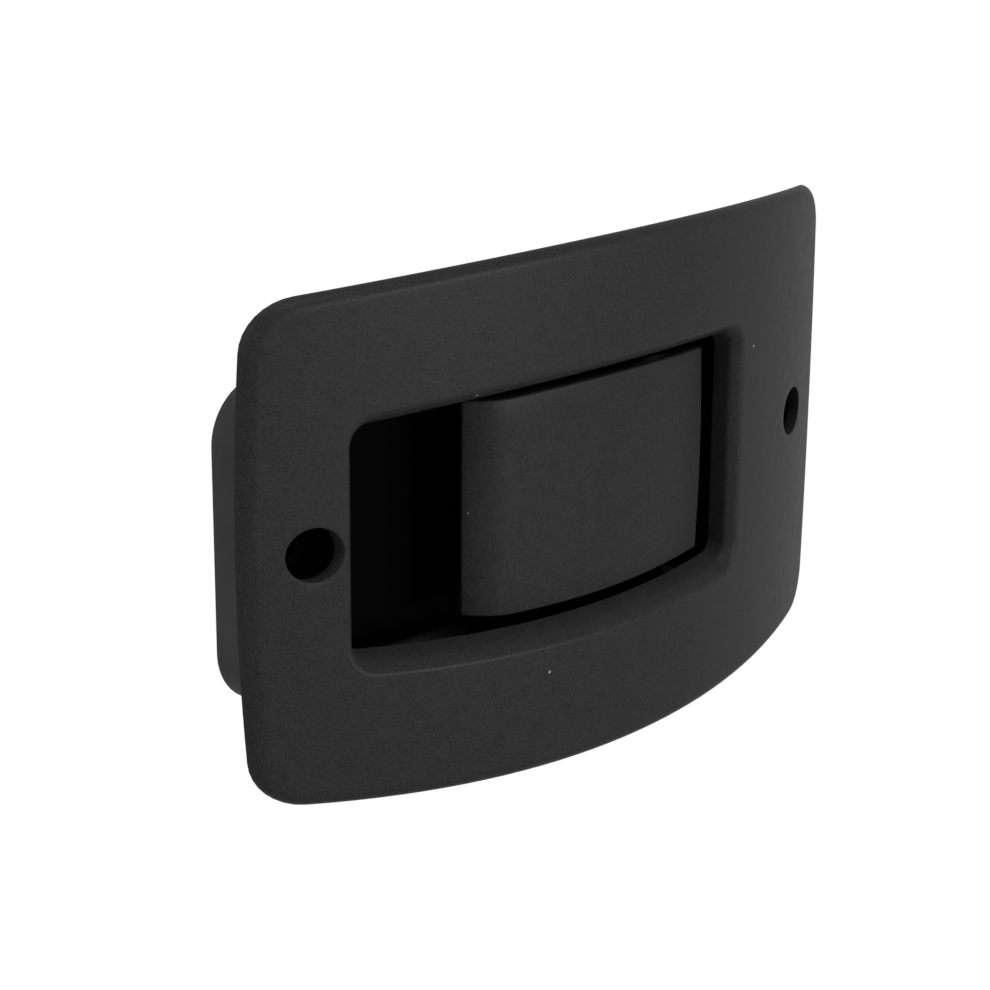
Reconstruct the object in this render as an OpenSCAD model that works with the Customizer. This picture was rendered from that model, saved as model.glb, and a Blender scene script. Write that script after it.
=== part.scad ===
// Flush pull handle for the inside of a vehicle door: a curved face plate with an
// off-centre window, a boxed housing behind it, and a sprung pull lever on a
// vertical pin that works a release arm behind the door panel.
// X runs to the right, Y into the door and Z up. The origin lies midway between the two
// fixing screws, in the plane where the housing seats on the door.

/* [Face plate] */
// Width of the face plate at mid height
plate_w = 153.3; // [148:0.1:170]
// Height of the face plate at mid width
plate_h = 97.6; // [92:0.1:120]
// How far the top and bottom edges bow out over the width
edge_bow = 4.25; // [2:0.05:6]
// How far the side edges bow out over the height
side_bow = 1.65; // [0.6:0.05:3]
// Radius of the plate's corners
corner_r = 9.7; // [6:0.1:14]
// Radius of the curved face, about a vertical axis
face_r = 167.6; // [150:1:260]
// Thickness of the face plate
plate_t = 2.4; // [2:0.1:3]
// Rounding of the plate's front edge
edge_round = 2.1; // [1:0.1:2.3]

/* [Window] */
// Width of the plate to the left of the window
left_band = 16.5; // [14:0.1:20]
// Width of the plate to the right of the window
right_band = 41.1; // [36:0.1:46]
// Height of the window at its middle, over its bevel
window_h = 52; // [48:0.1:56]
// Height of the line of screws, window and lever above the plate's middle
line_z = 0.87; // [0:0.01:2]
// Corner radius of the window, over its bevel
window_corner_r = 6; // [4:0.1:9]
// Width of the bevel round the window
bevel_w = 3.2; // [2:0.1:4]
// Depth of the bevel round the window
bevel_t = 1.8; // [1:0.1:2]

/* [Fixing] */
// Distance of the left fixing screw from the plate's left side
left_inset = 11.2; // [10:0.1:13]
// Distance of the right fixing screw from the plate's right side
right_inset = 15.4; // [13:0.1:18]
// Diameter of the holes in the face that the screw heads pass
pocket_d = 9.7; // [8:0.1:9.9]
// Depth of the screw head pockets below the face
pocket_depth = 7.6; // [5:0.1:9]
// Diameter of the screw holes in the pocket floors
screw_hole_d = 4.4; // [3.5:0.1:5.5]

/* [Housing] */
// Distance from the seat on the door to the front of the curved face
face_depth = 28.4; // [28:0.1:34]
// How far the housing's sides stand back from the plate's sides
housing_inset = 1.6; // [1.2:0.1:2.4]
// How far the housing stands out above and below the window's height
housing_rise = 3.45; // [3:0.05:5]
// Corner radius of the housing
housing_corner_r = 11; // [6:0.1:14]
// Wall of the housing
wall = 2; // [1.6:0.1:2.4]
// Thickness of the recess floor
floor_t = 2.4; // [2:0.1:3]
// How far the recess walls stand back from the window's inner edge
recess_margin = 1.5; // [1:0.1:1.6]

/* [Pull lever] */
// Gap for the fingers, from the window's left edge to the lever
finger_gap = 26.9; // [24:0.1:30]
// Gap between the lever's right end and the window's right edge
end_gap = 8.1; // [6:0.1:10]
// Gap between the lever and the window's upper and lower edge
side_gap = 5.3; // [4.4:0.1:6]
// Radius of the lever's curved face
lever_r = 137; // [120:1:170]
// Distance of the lever's highest line from its right end
crest_inset = 27.1; // [24:0.1:30]
// Depth of the lever's face below the front of the plate
lever_sink = 5.6; // [4:0.05:6]
// Wall of the pull lever
lever_t = 3; // [2.4:0.1:3.2]
// Radius of the rolled finger edge
grip_r = 12; // [10:0.1:13]
// Angle at which the finger edge ends
grip_angle = 62; // [50:1:68]

/* [Pivot] */
// Distance of the pivot from the lever's right end
pivot_inset = 7; // [6:0.1:8]
// Distance of the pivot from the seat plane, towards the face
pivot_depth = 12; // [11.5:0.1:12.5]
// Diameter of the pivot pin
pin_d = 4; // [3:0.1:5]
// Radial clearance of what turns on the pin
running_gap = 0.05; // [0.02:0.01:0.08]
// Distance of the lugs from the lever's upper and lower edge
lug_inset = 1.3; // [1:0.1:2.4]
// Thickness of a lever lug
lug_t = 3.5; // [3:0.1:4]
// Distance that the lever opens, in degrees
lever_travel = 28; // [20:1:30]

/* [Release arm] */
// Distance from the pivot to the rod eye
arm_reach = 25; // [22:0.5:32]
// Width of the arm where it passes the floor
arm_w = 7; // [6:0.1:8]
// Thickness of the arm
arm_t = 3; // [2:0.1:3.5]
// Diameter of the eye that takes the rod clip
eye_d = 6; // [5:0.1:7]
// Bore of the rod clip
rod_bore_d = 4.2; // [3:0.1:4.4]

/* [Return spring] */
// Wire of the return spring
wire_d = 1.2; // [0.8:0.1:1.3]
// Number of coils
coils = 6; // [4:1:6]

/* [Hidden] */

$fn = 64;
big_fn = 360;
eps = 0.01;

// Clearances
seat_gap = 0.15;
slide_gap = 0.2;

// Face and outline
face_cy = face_r - face_depth;
span_h = plate_h + 20;
plate_half_w = plate_w / 2;
plate_half_h = plate_h / 2;
chord_half_w = plate_half_w - side_bow;
chord_half_h = plate_half_h - edge_bow;
edge_r = (pow(chord_half_w, 2) + pow(edge_bow, 2)) / (2 * edge_bow);
side_r = (pow(chord_half_h, 2) + pow(side_bow, 2)) / (2 * side_bow);
edge_cz = plate_half_h - edge_r;
side_cx = plate_half_w - side_r;

// Window
window_x0 = -plate_half_w + left_band;
window_x1 = plate_half_w - right_band;
window_edge_r = edge_r - (plate_half_h - window_h / 2);
opening_x0 = window_x0 + bevel_w;
opening_x1 = window_x1 - bevel_w;

// Fixing screws
screw_x = [-plate_half_w + left_inset, plate_half_w - right_inset];

// Housing
back_r = face_r - plate_t - seat_gap;
housing_w = plate_w - 2 * housing_inset;
housing_h = window_h + 2 * housing_rise;
half_h = housing_h / 2;
recess_x0 = opening_x0 - recess_margin;
recess_x1 = opening_x1 + recess_margin;
pocket_r = pocket_d / 2;
pocket_floor_t = 2.4;
pocket_wall = 2;
pocket_bore_r = pocket_r + seat_gap;
boss_r = 4.6;
rib_t = 1.6;
rib_recess = 2;

// Screws that join the face plate to the housing
lug_screw_inset = 30.6;
lug_screw_x = plate_half_w - lug_screw_inset;
lug_reach = 5.4;
lug_screw_z = half_h + lug_reach;
lug_boss_h = 5.5;
lug_y0 = face_y(lug_screw_x, plate_t) + lug_boss_h;
lug_plate_t = 2.4;
lug_r = 4.4;
tapping_d = 3;
tapping_head_r = 2.9;
tapping_head_t = 2;
tapping_len = 8;
plate_boss_r = 3.4;
plate_rib_pitch = 23;
plate_rib_h = 5.6;
plate_rib_end = 8;

// Lever
lever_front_y = lever_sink - face_depth;
lever_cy = lever_front_y + lever_r;
lever_right = window_x1 - end_gap;
lever_x0 = window_x0 + finger_gap;
lever_crest_x = lever_right - crest_inset;
lever_h = window_h - 2 * side_gap;
lever_half_h = lever_h / 2;
lever_rib_x0 = lever_x0 + 17.5;
lever_rib_x1 = lever_right - 4;
lever_rib_z = [-11, 9.4];
lever_rib_h = 2.2;
lever_edge_r = edge_r - (plate_half_h - lever_half_h);
lever_corner_r = 1.5;
tip_r = lever_t / 2;
grip_tip_x = lever_x0 + tip_r * (1 - cos(grip_angle));

// The rolled edge is an arc inside the face's own arc, tangent to it where the
// face reaches the angle grip_start.
grip_start = grip_start_angle(0, 40);
grip_cx = lever_crest_x - (lever_r - grip_r) * sin(grip_start);
grip_cy = lever_cy - (lever_r - grip_r) * cos(grip_start);

// Pivot
pivot_x = lever_right - pivot_inset;
pivot_y = -pivot_depth;
pin_r = pin_d / 2;
turn_r = pin_r + running_gap;
lug_out = lever_half_h - lug_inset;
lug_in = lug_out - lug_t;
lug_eye_r = pin_r + 3;
pad_r = pin_r + 3;
spacer_h = 4.5;
pad_in = lug_out + spacer_h + 2 * seat_gap;
wall_top = half_h - line_z;
wall_bottom = -half_h - line_z;
hub_r = pin_r + 1.3;
hub_gap = 0.2;
pin_head_r = pin_r + 1.5;
pin_head_t = 1.5;
washer_t = 0.5;
washer_r = pin_r + 3.2;
clip_t = 0.8;
clip_r = pin_r + 2;
groove_r = pin_r - 0.5;
pin_tail = washer_t + 2.6;
clip_z = wall_bottom - washer_t - clip_t - slide_gap;

// Release arm
arm_half_t = arm_t / 2;
arm_half_w = arm_w / 2;
eye_r = eye_d / 2;
eye_y = pivot_y + arm_reach;
eye_pad_r = eye_r + 3;
arm_eye_r = pin_r + 4;
shelf_t = 3.5;
shelf_x0 = pivot_x - 22;
arm_screw_x = [pivot_x - 18, pivot_x - 10.5];
arm_screw_y = pivot_y - 4.4;
arm_screw_d = 3;
arm_screw_head_r = 2.8;
arm_screw_head_t = 1.8;

// Slot in the floor and its buffers
slot_half_h = 6;
buffer_lip = 3;
buffer_half_h = 4;
buffer_side = 1.4;
floor_reach = pivot_depth + buffer_side;
rest_face_x = pivot_x + arm_half_w + slide_gap;
open_face_x = pivot_x - (arm_half_w + floor_reach * sin(lever_travel)) / cos(lever_travel) - slide_gap;
slot_x1 = rest_face_x + buffer_lip;
slot_x0 = open_face_x - buffer_lip;

// Spring
wire_r = wire_d / 2;
coil_r = hub_r + wire_r + 0.3;
coil_pitch = wire_d + 0.15;
coil_z0 = -lug_in + 2 + wire_r;
coil_z1 = coil_z0 + coils * coil_pitch;

function face_y(x, depth) = face_cy - sqrt(pow(face_r - depth, 2) - x * x);

// Floor of the screw head pocket at x
function pocket_floor_y(x) = face_y(x, 0) + pocket_depth;

// X of the grip's end for a given start angle of the roll
function grip_end_x(a) =
    lever_crest_x - (lever_r - grip_r) * sin(a) - grip_r * sin(grip_angle);

// The start angle that brings the rolled edge to the lever's left end
function grip_start_angle(lo, hi, n = 30) =
    n == 0 ? (lo + hi) / 2 :
    grip_end_x((lo + hi) / 2) > grip_tip_x
        ? grip_start_angle((lo + hi) / 2, hi, n - 1)
        : grip_start_angle(lo, (lo + hi) / 2, n - 1);

// Centre of a corner arc of the plate, tangent to its side arc and its edge arc
function corner_centre() =
    let (
        a = side_r - corner_r,
        b = edge_r - corner_r,
        dx = -side_cx,
        dz = edge_cz,
        d = sqrt(dx * dx + dz * dz),
        m = (a * a - b * b + d * d) / (2 * d),
        h = sqrt(a * a - m * m),
        ux = dx / d,
        uz = dz / d
    )
    [side_cx + m * ux - h * uz, m * uz + h * ux];

corner_c = corner_centre();
corner_a0 = atan2(corner_c[1], corner_c[0] - side_cx);
corner_a1 = atan2(corner_c[1] - edge_cz, corner_c[0]);

function on_arc(cx, cz, r, a) = [cx + r * cos(a), cz + r * sin(a)];
function span(a, b, n) = [for (i = [0:n - 1]) a + (b - a) * i / n];

// One quarter of the plate's outline, moved in by inset
function plate_quarter(inset) = concat(
    [for (a = span(0, corner_a0, 8)) on_arc(side_cx, 0, side_r - inset, a)],
    [for (a = span(corner_a0, corner_a1, 9)) on_arc(corner_c[0], corner_c[1], corner_r - inset, a)],
    [for (a = span(corner_a1, 90, 15)) on_arc(0, edge_cz, edge_r - inset, a)],
    [[0, plate_half_h - inset]]
);

// Closes a quarter outline to the whole, going round from the right end
function mirror_round(q) =
    let (n = len(q) - 1)
    concat(
        q,
        [for (i = [n - 1:-1:0]) [-q[i][0], q[i][1]]],
        [for (i = [1:n]) [-q[i][0], -q[i][1]]],
        [for (i = [n - 1:-1:1]) [q[i][0], -q[i][1]]]
    );

// Outline with straight sides and edges that run parallel to the plate's edges
function panel_outline(x0, x1, half, er, r, steps) =
    let (
        cz = half - er,
        z_r = cz + sqrt(pow(er - r, 2) - pow(x1 - r, 2)),
        z_l = cz + sqrt(pow(er - r, 2) - pow(x0 + r, 2)),
        a_r = atan2(z_r - cz, x1 - r),
        a_l = atan2(z_l - cz, x0 + r),
        upper = concat(
            [for (a = span(0, a_r, 7)) on_arc(x1 - r, z_r, r, a)],
            [for (a = span(a_r, a_l, steps)) on_arc(0, cz, er, a)],
            [for (a = span(a_l, 180, 7)) on_arc(x0 + r, z_l, r, a)],
            [[x0, z_l]]
        )
    )
    concat(upper, [for (i = [len(upper) - 1:-1:0]) [upper[i][0], -upper[i][1]]]);

function window_outline(inset) =
    let (flat = panel_outline(
        window_x0 + inset, window_x1 - inset, window_h / 2 - inset,
        window_edge_r - inset, window_corner_r - inset, 24))
    [for (p = flat) [p[0], p[1] + line_z]];

// Lays an outline on the face, at a depth below it, or in a flat plane
function on_face(outline, depth) = [for (p = outline) [p[0], face_y(p[0], depth), p[1]]];
function on_plane(outline, y) = [for (p = outline) [p[0], y, p[1]]];

// A solid through rings of equal length, the first one in front
module loft(rings) {
    n = len(rings[0]);
    last = len(rings) - 1;
    points = [for (r = rings) for (p = r) p];
    sides = [for (k = [0:last - 1]) for (i = [0:n - 1])
        let (a = k * n + i, b = k * n + (i + 1) % n)
        each [[a, b, b + n], [a, b + n, a + n]]];
    front = [for (i = [n - 1:-1:0]) i];
    back = [for (i = [0:n - 1]) last * n + i];
    polyhedron(points, concat([front], sides, [back]));
}

// A solid tube along a path, with sides given
module sweep_tube(path, r, sides) {
    n = len(path);
    up = [0.31, 0.17, 0.93];
    rings = [for (i = [0:n - 1])
        let (
            t = path[min(i + 1, n - 1)] - path[max(i - 1, 0)],
            u = cross(t, up) / norm(cross(t, up)),
            v = cross(u, t) / norm(t)
        )
        [for (k = [0:sides - 1]) path[i] + r * (cos(360 * k / sides) * u + sin(360 * k / sides) * v)]];
    points = [for (q = rings) for (p = q) p];
    faces = [for (k = [0:n - 2]) for (i = [0:sides - 1])
        let (a = k * sides + i, b = k * sides + (i + 1) % sides)
        each [[a, a + sides, b + sides], [a, b + sides, b]]];
    polyhedron(points, concat(
        [[for (i = [0:sides - 1]) i]], faces,
        [[for (i = [sides - 1:-1:0]) (n - 1) * sides + i]]));
}

// Extrudes an X-Z drawing from y0 to y1
module along_y(y0, y1) {
    translate([0, y1, 0]) rotate([90, 0, 0]) linear_extrude(y1 - y0) children();
}

// A round bar or bore along Y
module bar_y(x, z, r, y0, y1, fn = 48) {
    translate([x, y1, z]) rotate([90, 0, 0]) cylinder(r = r, h = y1 - y0, $fn = fn);
}

// A round bar or bore along Z at the pivot
module bar_z(x, y, r, z0, z1, fn = 48) {
    translate([x, y, z0]) cylinder(r = r, h = z1 - z0, $fn = fn);
}

module rounded_rect(w, h, r) {
    square([w - 2 * r, h], center = true);
    square([w, h - 2 * r], center = true);
    for (x = [-1, 1]) for (z = [-1, 1])
        translate([x * (w / 2 - r), z * (h / 2 - r)]) circle(r = r);
}

// Raises what stands on the line of the screws and the window
module on_line() {
    translate([0, 0, line_z]) children();
}

// Moves the whole handle so that the point midway between its fixing screws is the origin
module from_screws() {
    translate([-(screw_x[0] + screw_x[1]) / 2, 0, -line_z]) children();
}

// Everything behind the curved face at a depth below it
module behind_face(r) {
    translate([0, face_cy, -span_h / 2]) cylinder(r = r, h = span_h, $fn = big_fn);
}

// The outer form of the plate, with its rounded front edge
module rim_form() {
    front_y = -face_depth - 3;
    back_y = face_y(plate_half_w, plate_t) + 4;
    steps = [80, 64, 48, 32, 16, 0];
    top_inset = edge_round * (1 - cos(steps[0]));
    loft(concat(
        [on_plane(mirror_round(plate_quarter(top_inset)), front_y)],
        [for (a = steps) on_face(
            mirror_round(plate_quarter(edge_round * (1 - cos(a)))),
            edge_round * (1 - sin(a)))],
        [on_plane(mirror_round(plate_quarter(0)), back_y)]
    ));
}

// The window through the plate, with its bevel
module window_form() {
    lead = 0.6;
    slope = bevel_t / bevel_w;
    loft([
        on_plane(window_outline(-lead), -face_depth - 4),
        on_face(window_outline(-lead), -lead * slope),
        on_face(window_outline(bevel_w), bevel_t),
        on_plane(window_outline(bevel_w), face_y(opening_x0, plate_t) + 4)
    ]);
}

// Places children at the four joining screws
module at_lug_screws() {
    for (x = [-1, 1]) for (z = [-1, 1])
        translate([x * lug_screw_x, 0, z * lug_screw_z]) children();
}

module face_plate() {
    boss_y = face_y(lug_screw_x + plate_boss_r, plate_t) - plate_t / 2;
    color([0.2, 0.2, 0.21])
    difference() {
        union() {
            intersection() {
                difference() {
                    behind_face(face_r);
                    behind_face(face_r - plate_t);
                }
                rim_form();
            }
            intersection() {
                behind_face(face_r - plate_t / 2);
                union() {
                    at_lug_screws() bar_y(0, 0, plate_boss_r, -face_depth, lug_y0);
                    plate_ribs();
                }
            }
        }
        window_form();
        for (x = screw_x) bar_y(x, line_z, pocket_r, -face_depth, 0);
        at_lug_screws() bar_y(0, 0, tapping_d / 2, lug_y0 - tapping_len + lug_plate_t, lug_y0 + 1);
    }
}

// Stiffening ribs on the back of the plate, between the housing and the rim
module plate_ribs() {
    z0 = half_h + 1.5;
    z1 = plate_half_h - plate_rib_end;
    for (s = [-1, 1]) for (x = [-plate_rib_pitch, 0, plate_rib_pitch])
        translate([x - rib_t / 2, -face_depth, s > 0 ? z0 : -z1])
            cube([rib_t, plate_t + plate_rib_h, z1 - z0]);
}

module housing_walls() {
    // Skirt all round
    along_y(-face_depth, 0)
    difference() {
        rounded_rect(housing_w, housing_h, housing_corner_r);
        rounded_rect(housing_w - 2 * wall, housing_h - 2 * wall, housing_corner_r - wall);
    }
    // Cross walls of the recess
    for (x = [recess_x0 - wall, recess_x1])
        translate([x, -face_depth, -half_h + wall / 2])
            cube([wall, face_depth, housing_h - wall]);
    // Floor of the recess
    translate([recess_x0 - wall / 2, -floor_t, -half_h + wall / 2])
        cube([recess_x1 - recess_x0 + wall, floor_t, housing_h - wall]);
    // Screw head pockets and their ribs
    for (x = screw_x) {
        bar_y(x, line_z, pocket_bore_r + pocket_wall, -face_depth, pocket_floor_y(x) + pocket_floor_t);
        bar_y(x, line_z, boss_r, pocket_floor_y(x), 0);
        translate([x - rib_t / 2, -face_depth, -half_h + wall / 2])
            cube([rib_t, face_depth - rib_recess, housing_h - wall]);
    }
}

module housing() {
    color([0.13, 0.13, 0.14])
    difference() {
        union() {
            intersection() {
                behind_face(back_r);
                housing_walls();
            }
            // Thick pads where the pivot pin passes
            bar_z(pivot_x, pivot_y, pad_r, line_z + pad_in, half_h - wall / 2);
            bar_z(pivot_x, pivot_y, pad_r, -half_h + wall / 2, line_z - pad_in);
            // Ears that take the joining screws
            for (x = [-1, 1]) for (z = [-1, 1]) {
                translate([x * lug_screw_x, 0, z * lug_screw_z])
                    bar_y(0, 0, lug_r, lug_y0, lug_y0 + lug_plate_t);
                translate([x * lug_screw_x - lug_r, lug_y0, z > 0 ? half_h - wall / 2 : -lug_screw_z])
                    cube([2 * lug_r, lug_plate_t, lug_reach + wall / 2]);
            }
        }
        for (x = screw_x) {
            bar_y(x, line_z, pocket_bore_r, -face_depth - 1, pocket_floor_y(x));
            bar_y(x, line_z, screw_hole_d / 2, -face_depth, 1);
        }
        bar_z(pivot_x, pivot_y, turn_r, -half_h - 1, half_h + 1);
        translate([slot_x0, -floor_t - 1, line_z - slot_half_h])
            cube([slot_x1 - slot_x0, floor_t + 2, 2 * slot_half_h]);
        at_lug_screws() bar_y(0, 0, tapping_d / 2 + seat_gap, lug_y0 - 1, lug_y0 + lug_plate_t + 1);
    }
}

module housing_screws() {
    color([0.62, 0.63, 0.65])
    at_lug_screws() {
        head_y = lug_y0 + lug_plate_t;
        difference() {
            union() {
                bar_y(0, 0, tapping_head_r, head_y, head_y + tapping_head_t);
                bar_y(0, 0, tapping_d / 2 - 0.05, head_y - tapping_len, head_y + 0.5);
            }
            for (a = [0, 90]) rotate([0, a, 0])
                translate([-1.7, head_y + 0.9, -0.4]) cube([3.4, 2, 0.8]);
        }
    }
}

// Cross-section of the lever's skin in the X-Y plane
module lever_section() {
    wedge = lever_r * 1.5;
    grip_lap = grip_start - 0.4;
    a_right = asin((lever_right - tip_r - lever_crest_x) / (lever_r - tip_r));
    // Main arc of the face, from the rolled edge to the right end
    intersection() {
        translate([lever_crest_x, lever_cy]) difference() {
            circle(r = lever_r, $fn = big_fn);
            circle(r = lever_r - lever_t, $fn = big_fn);
        }
        translate([lever_crest_x, lever_cy]) polygon([
            [0, 0],
            [-wedge * sin(grip_start), -wedge * cos(grip_start)],
            [wedge * sin(a_right), -wedge * cos(a_right)]
        ]);
    }
    translate([
        lever_crest_x + (lever_r - tip_r) * sin(a_right),
        lever_cy - (lever_r - tip_r) * cos(a_right)
    ]) circle(r = tip_r);
    // Rolled finger edge
    translate([grip_cx, grip_cy]) {
        intersection() {
            difference() {
                circle(r = grip_r, $fn = 96);
                circle(r = grip_r - lever_t, $fn = 96);
            }
            polygon([
                [0, 0],
                [-3 * grip_r * sin(grip_lap), -3 * grip_r * cos(grip_lap)],
                [-3 * grip_r, -3 * grip_r],
                [-3 * grip_r * sin(grip_angle), -3 * grip_r * cos(grip_angle)]
            ]);
        }
        translate([-(grip_r - tip_r) * sin(grip_angle), -(grip_r - tip_r) * cos(grip_angle)])
            circle(r = tip_r);
    }
}

// Side view of a lug, from the face to round the pivot
module lug_section() {
    translate([pivot_x, pivot_y]) circle(r = lug_eye_r);
    polygon([
        [shelf_x0 + 5, lever_front_y],
        [lever_right - 4, lever_front_y],
        [pivot_x + lug_eye_r, pivot_y],
        [pivot_x, pivot_y + lug_eye_r * 0.6],
        [pivot_x - lug_eye_r * 0.8, pivot_y + lug_eye_r * 0.6]
    ]);
}

module pull_lever() {
    color([0.22, 0.22, 0.23])
    difference() {
        union() {
            intersection() {
                translate([0, 0, -lever_half_h]) linear_extrude(lever_h) lever_section();
                along_y(-face_depth, 0) polygon(panel_outline(
                    lever_x0, lever_right, lever_half_h, lever_edge_r, lever_corner_r, 20));
            }
            // Lugs, ribs and shelf, kept behind the face
            intersection() {
                translate([lever_crest_x, lever_cy, -lever_half_h])
                    cylinder(r = lever_r - lever_t / 2, h = lever_h, $fn = big_fn);
                union() {
                    for (z = [-lug_out, lug_in])
                        translate([0, 0, z]) linear_extrude(lug_t) lug_section();
                    translate([shelf_x0, lever_front_y, -arm_half_t - shelf_t])
                        cube([arm_screw_x[1] + 3 - shelf_x0, arm_screw_y + 3 - lever_front_y, shelf_t]);
                    for (z = lever_rib_z)
                        translate([lever_rib_x0, lever_front_y, z])
                            cube([lever_rib_x1 - lever_rib_x0, lever_t + lever_rib_h, rib_t]);
                }
            }
            // Hubs that carry the spring and hold the arm in place
            bar_z(pivot_x, pivot_y, hub_r, -lug_in - 1, -arm_half_t - hub_gap);
            bar_z(pivot_x, pivot_y, hub_r, arm_half_t + hub_gap, lug_in + 1);
        }
        bar_z(pivot_x, pivot_y, turn_r, -lug_out - 1, lug_out + 1);
        for (x = arm_screw_x)
            bar_z(x, arm_screw_y, arm_screw_d / 2, -arm_half_t - shelf_t - 1, arm_half_t);
    }
}

module release_arm() {
    foot_r = 3;
    color([0.6, 0.61, 0.63])
    translate([0, 0, -arm_half_t])
    difference() {
        linear_extrude(arm_t) {
            translate([pivot_x, pivot_y]) circle(r = arm_eye_r);
            translate([pivot_x, eye_y]) circle(r = eye_pad_r);
            translate([pivot_x - arm_half_w, pivot_y]) square([arm_w, arm_reach]);
            for (x = arm_screw_x) translate([x, arm_screw_y]) circle(r = foot_r);
            polygon([
                [arm_screw_x[0], arm_screw_y - foot_r],
                [arm_screw_x[1], arm_screw_y - foot_r],
                [pivot_x - 1, pivot_y - arm_eye_r],
                [pivot_x - 3, pivot_y + arm_eye_r * 0.85],
                [arm_screw_x[1], arm_screw_y + foot_r + 1.5],
                [arm_screw_x[0], arm_screw_y + foot_r]
            ]);
        }
        bar_z(pivot_x, pivot_y, turn_r, -1, arm_t + 1);
        bar_z(pivot_x, eye_y, eye_r, -1, arm_t + 1);
        for (x = arm_screw_x) bar_z(x, arm_screw_y, arm_screw_d / 2 + seat_gap, -1, arm_t + 1);
    }
}

module arm_screws() {
    color([0.62, 0.63, 0.65])
    for (x = arm_screw_x) difference() {
        union() {
            bar_z(x, arm_screw_y, arm_screw_head_r, arm_half_t, arm_half_t + arm_screw_head_t);
            bar_z(x, arm_screw_y, arm_screw_d / 2 - 0.05, -arm_half_t - shelf_t, arm_half_t + 0.5);
        }
        for (a = [0, 90]) translate([x, arm_screw_y, arm_half_t + 0.8]) rotate([0, 0, a])
            translate([-1.6, -0.4, 0]) cube([3.2, 0.8, 2]);
    }
}

// Plastic clip that snaps into the arm's eye and over the pull rod
module rod_clip() {
    flange_r = eye_r + 2;
    flange_t = 1.3;
    saddle_x = 13;
    saddle_w = 5;
    rod_z = -arm_half_t - flange_t - rod_bore_d / 2 - 0.1;
    color([0.85, 0.84, 0.78])
    difference() {
        union() {
            bar_z(pivot_x, eye_y, flange_r, -arm_half_t - flange_t, -arm_half_t);
            bar_z(pivot_x, eye_y, eye_r - running_gap, -arm_half_t - eps, arm_half_t + eps);
            bar_z(pivot_x, eye_y, eye_r + 0.4, arm_half_t, arm_half_t + 1);
            translate([pivot_x, eye_y - 2.5, -arm_half_t - flange_t])
                cube([saddle_x + saddle_w / 2, 5, flange_t]);
            translate([pivot_x + saddle_x - saddle_w / 2, eye_y, rod_z])
                rotate([0, 90, 0]) cylinder(r = rod_bore_d / 2 + 1.3, h = saddle_w);
        }
        bar_z(pivot_x, eye_y, rod_bore_d / 2, -arm_half_t - flange_t - 1, arm_half_t + 2);
        translate([pivot_x + saddle_x - saddle_w, eye_y, rod_z])
            rotate([0, 90, 0]) cylinder(r = rod_bore_d / 2, h = 2 * saddle_w);
        translate([pivot_x + saddle_x - saddle_w, eye_y - 1.5, rod_z - 6])
            cube([2 * saddle_w, 3, 6]);
    }
}

module pivot_pin() {
    color([0.66, 0.67, 0.69])
    difference() {
        union() {
            bar_z(pivot_x, pivot_y, pin_r, wall_bottom - pin_tail, wall_top + eps);
            bar_z(pivot_x, pivot_y, pin_head_r, wall_top, wall_top + pin_head_t);
        }
        translate([pivot_x, pivot_y, clip_z]) difference() {
            cylinder(r = pin_r + 1, h = clip_t + slide_gap);
            translate([0, 0, -1]) cylinder(r = groove_r, h = clip_t + slide_gap + 2);
        }
    }
}

// Washer between the housing and the snap ring
module pin_washer() {
    color([0.66, 0.67, 0.69])
    difference() {
        bar_z(pivot_x, pivot_y, washer_r, wall_bottom - washer_t, wall_bottom);
        bar_z(pivot_x, pivot_y, pin_r + slide_gap / 2, wall_bottom - washer_t - 1, wall_bottom + 1);
    }
}

// Snap ring in the groove at the pin's lower end
module pin_retainer() {
    color([0.3, 0.3, 0.31])
    translate([pivot_x, pivot_y, clip_z + slide_gap / 2])
    linear_extrude(clip_t)
    difference() {
        circle(r = clip_r);
        circle(r = groove_r + 0.05);
        translate([0, -groove_r * 0.85]) square([clip_r + 1, 2 * groove_r * 0.85]);
        for (a = [120, 240]) rotate([0, 0, a]) translate([groove_r + 0.9, 0]) circle(r = 0.7);
    }
}

// Plastic spacers between the lever's lugs and the housing
module spacer(z0, z1) {
    color([0.86, 0.85, 0.8])
    difference() {
        bar_z(pivot_x, pivot_y, pin_r + 2, z0, z1);
        bar_z(pivot_x, pivot_y, turn_r, z0 - 1, z1 + 1);
    }
}

module upper_spacer() {
    spacer(lug_out + seat_gap, pad_in - seat_gap);
}

module lower_spacer() {
    spacer(-pad_in + seat_gap, -lug_out - seat_gap);
}

// Torsion spring: one leg rests on the recess floor, the other turns up beside the arm
module return_spring() {
    turn_steps = 14;
    steps = floor((coils + 0.5) * turn_steps);
    arm_leg_x = pivot_x - arm_half_w - wire_r - slide_gap / 2;
    arm_leg_y = pivot_y + arm_eye_r * 0.97;
    floor_leg_y = -floor_t - wire_r - slide_gap;
    floor_leg = [for (i = [0:2])
        [pivot_x + coil_r, floor_leg_y + (pivot_y - floor_leg_y) * i / 3, coil_z0]];
    coil = [for (i = [0:steps])
        let (a = -360 * i / turn_steps)
        [pivot_x + coil_r * cos(a), pivot_y + coil_r * sin(a), coil_z0 + (coil_z1 - coil_z0) * i / steps]];
    arm_leg = [
        [arm_leg_x, pivot_y + coil_r / 2, coil_z1],
        [arm_leg_x, arm_leg_y - wire_r, coil_z1],
        [arm_leg_x, arm_leg_y, coil_z1 + wire_r],
        [arm_leg_x, arm_leg_y, -arm_half_t],
        [arm_leg_x, arm_leg_y, arm_half_t]
    ];
    color([0.7, 0.71, 0.72])
    sweep_tube(concat(floor_leg, coil, arm_leg), wire_r, 8);
}

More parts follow.
